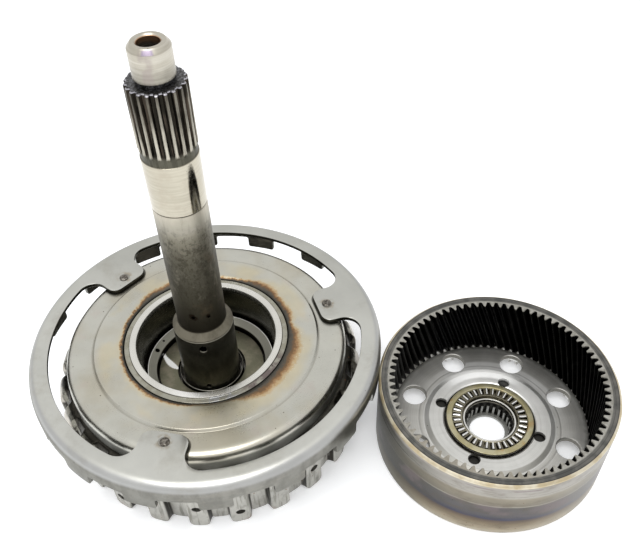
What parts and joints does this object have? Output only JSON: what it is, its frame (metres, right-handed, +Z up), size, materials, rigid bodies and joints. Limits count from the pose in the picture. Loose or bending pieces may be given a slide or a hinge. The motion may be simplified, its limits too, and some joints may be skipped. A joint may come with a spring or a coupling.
{
  "type": "planetary gear set",
  "caption": "Clutch drum with planet carrier, sun gear and upright splined input shaft, beside its loose internal ring gear with splined hub and thrust bearing.",
  "frame": {"origin": "on the floor plane under the middle of the whole set", "axes": "+Z up along the shaft and both drums; +X from the drum towards the loose ring gear; +Y away from the viewer"},
  "size_m": [0.3292, 0.2, 0.2382],
  "materials": {
    "satin_steel": "satin pressed sheet steel with a bright rolled edge",
    "cover_steel": "turned sheet steel with straw and brown heat tint round the weld",
    "neck_steel": "machined bright land, dark oily bore",
    "dark_steel": "dark oxidised steel",
    "shaft_steel": "ground journal above a brown-grey heat-treated body",
    "polished_steel": "polished",
    "ring_steel": "ground outside with a cream edge, grey band and golden foot",
    "hub_steel": "turned steel web",
    "bronze": "yellow passivated bearing cage and bronze washers",
    "gear_steel": "hardened ground gear teeth"
  },
  "bodies": {
    "drum": {"tone_ring": "satin_steel", "tab_rivet_1": "dark_steel", "tab_rivet_2": "dark_steel", "tab_rivet_3": "dark_steel", "drum_cover": "cover_steel", "clutch_drum": "satin_steel", "neck_sleeve": "neck_steel", "carrier_upper_plate": "hub_steel", "carrier_lower_plate": "hub_steel", "shaft_sleeve": "polished_steel", "planet_pin_1": "polished_steel", "planet_pin_2": "polished_steel", "planet_pin_3": "polished_steel", "planet_pin_4": "polished_steel"},
    "shaft": {"input_shaft": "shaft_steel", "sun_gear": "gear_steel", "sun_snap_ring": "dark_steel"},
    "planet_a": {"planet_gear_1": "gear_steel", "planet_needles_1": "polished_steel", "planet_washer_low_1": "bronze", "planet_washer_high_1": "bronze"},
    "planet_b": {"planet_gear_2": "gear_steel", "planet_needles_2": "polished_steel", "planet_washer_low_2": "bronze", "planet_washer_high_2": "bronze"},
    "planet_c": {"planet_gear_3": "gear_steel", "planet_needles_3": "polished_steel", "planet_washer_low_3": "bronze", "planet_washer_high_3": "bronze"},
    "planet_d": {"planet_gear_4": "gear_steel", "planet_needles_4": "polished_steel", "planet_washer_low_4": "bronze", "planet_washer_high_4": "bronze"},
    "loose_ring": {"ring_gear": "ring_steel", "ring_hub": "hub_steel", "hub_snap_ring": "dark_steel", "bearing_race": "polished_steel"},
    "bearing": {"thrust_bearing": "bronze"}
  },
  "joints": [
    {"name": "shaft_spin", "type": "hinge", "parent": "drum", "child": "shaft", "pos_m": [-0.0646, 0, 0.1], "axis": [0, 0, 1], "continuous": true},
    {"name": "planet_a_spin", "type": "hinge", "parent": "drum", "child": "planet_a", "pos_m": [-0.02304, 0.00364, 0.015], "axis": [0, 0, 1], "continuous": true},
    {"name": "planet_b_spin", "type": "hinge", "parent": "drum", "child": "planet_b", "pos_m": [-0.06824, 0.04156, 0.015], "axis": [0, 0, 1], "continuous": true},
    {"name": "planet_c_spin", "type": "hinge", "parent": "drum", "child": "planet_c", "pos_m": [-0.10616, -0.00364, 0.015], "axis": [0, 0, 1], "continuous": true},
    {"name": "planet_d_spin", "type": "hinge", "parent": "drum", "child": "planet_d", "pos_m": [-0.06096, -0.04156, 0.015], "axis": [0, 0, 1], "continuous": true},
    {"name": "ring_gear_spin", "type": "hinge", "parent": "drum", "child": "loose_ring", "pos_m": [0.0985, -0.0316, 0.02], "axis": [0, 0, 1], "continuous": true},
    {"name": "bearing_spin", "type": "hinge", "parent": "loose_ring", "child": "bearing", "pos_m": [0.0985, -0.0316, 0.013], "axis": [0, 0, 1], "continuous": true}
  ],
  "couplings": [
    {"joint": "planet_a_spin", "follows": "shaft_spin", "ratio": -1.4348},
    {"joint": "planet_b_spin", "follows": "shaft_spin", "ratio": -1.4348},
    {"joint": "planet_c_spin", "follows": "shaft_spin", "ratio": -1.4348},
    {"joint": "planet_d_spin", "follows": "shaft_spin", "ratio": -1.4348}
  ]
}
